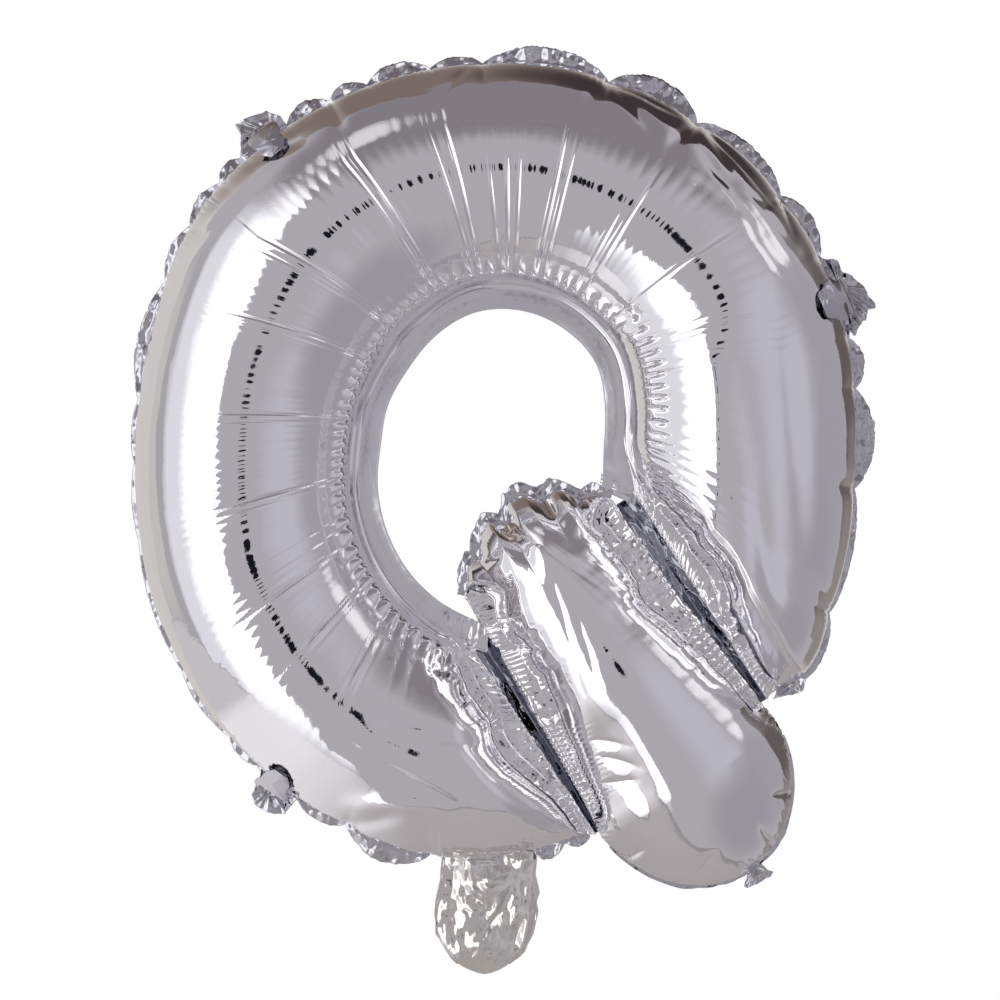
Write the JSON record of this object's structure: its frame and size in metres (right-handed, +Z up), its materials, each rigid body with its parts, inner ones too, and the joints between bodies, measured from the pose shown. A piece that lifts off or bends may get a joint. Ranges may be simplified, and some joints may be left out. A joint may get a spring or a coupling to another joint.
{
  "type": "letter foil balloon",
  "caption": "Inflated metallised film balloon in the shape of a capital Q, with a welded margin, hanging tabs and a filling neck, hung as a party decoration.",
  "frame": {"origin": "middle of the letter's hole, on the plane where the front and back foils are welded together", "axes": "+X to the reader's right, +Z up the letter, and the front of the letter faces -Y"},
  "size_m": [0.3104, 0.0952, 0.3853],
  "materials": {
    "foil": "mirror-bright metallised film, finely pleated",
    "weld": "bright metallised film with a fine knurled heat seal",
    "tab": "bright metallised film, folded and creased",
    "neck_film": "thin wrinkled silvery film, partly see-through",
    "valve_film": "clear film"
  },
  "bodies": {
    "root": {"bowl_front_foil": "foil", "bowl_back_foil": "foil", "tail_front_foil": "foil", "tail_back_foil": "foil", "bowl_rim_weld": "weld", "bowl_corner_weld": "weld", "hole_weld": "weld", "left_web": "weld", "right_web": "weld", "tail_top_weld": "weld", "tail_tip_weld": "weld", "upper_left_tab": "tab", "right_tab": "tab", "lower_left_tab": "tab", "lower_right_tab": "tab", "tail_tip_tab": "tab", "neck_front_film": "neck_film", "neck_back_film": "neck_film", "neck_left_weld": "neck_film", "neck_right_weld": "neck_film", "valve_sleeve": "valve_film"}
  },
  "joints": []
}
